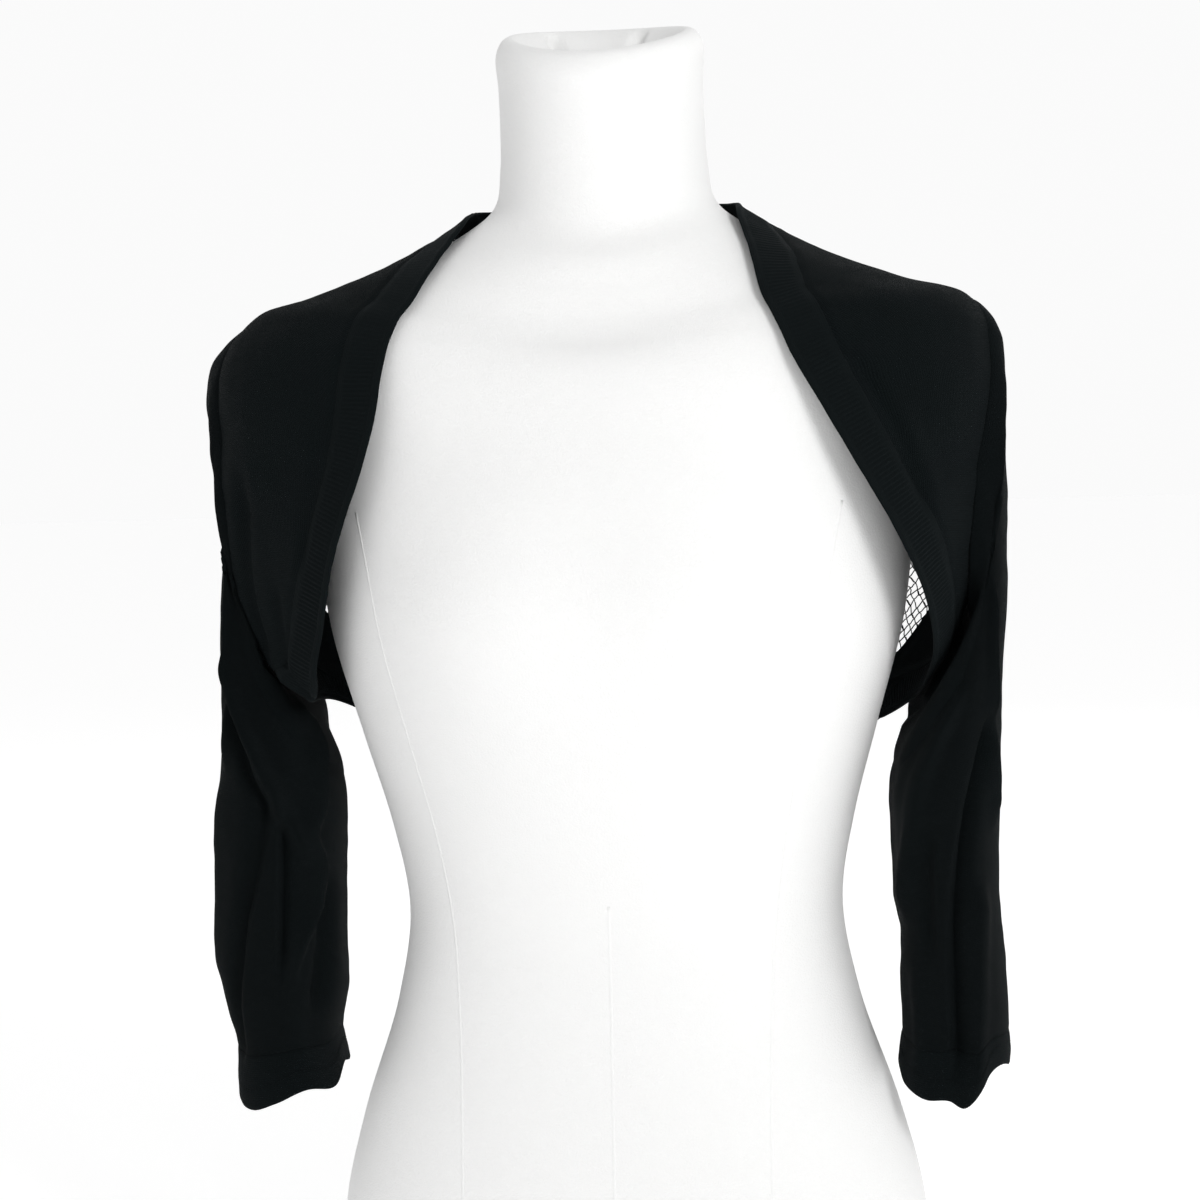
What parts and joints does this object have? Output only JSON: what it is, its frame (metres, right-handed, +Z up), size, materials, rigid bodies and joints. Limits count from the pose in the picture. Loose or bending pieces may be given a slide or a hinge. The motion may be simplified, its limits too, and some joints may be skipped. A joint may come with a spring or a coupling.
{
  "type": "knitted shrug on a dress form",
  "caption": "Black fine-knit open-front shrug with three-quarter sleeves, ribbed edge band and lace back, worn on a limbless white jersey-covered dress form.",
  "frame": {"origin": "middle of the dress form's flat base, on the surface it stands on, under the middle of the neck", "axes": "+Z up the form to its neck, -Y the front of the garment, +X the side that is on the right when seen from the front"},
  "size_m": [0.4578, 0.2498, 0.7502],
  "materials": {
    "black_knit": "fine plain knit, soft, slightly fuzzy, matt with a faint sheen",
    "black_rib": "fine ribbed knit, ribs across the band, matt",
    "black_lace": "openwork knitted lace, matt",
    "white_jersey": "smooth stretched cotton jersey with stitched seams, matt"
  },
  "bodies": {
    "root": {"dress_form": "white_jersey", "front_right": "black_knit", "front_left": "black_knit", "back_lace": "black_lace", "sleeve_right": "black_knit", "sleeve_left": "black_knit", "cuff_right": "black_knit", "cuff_left": "black_knit", "band_right": "black_rib", "band_left": "black_rib", "band_neck": "black_rib", "band_hem": "black_rib"}
  },
  "joints": []
}
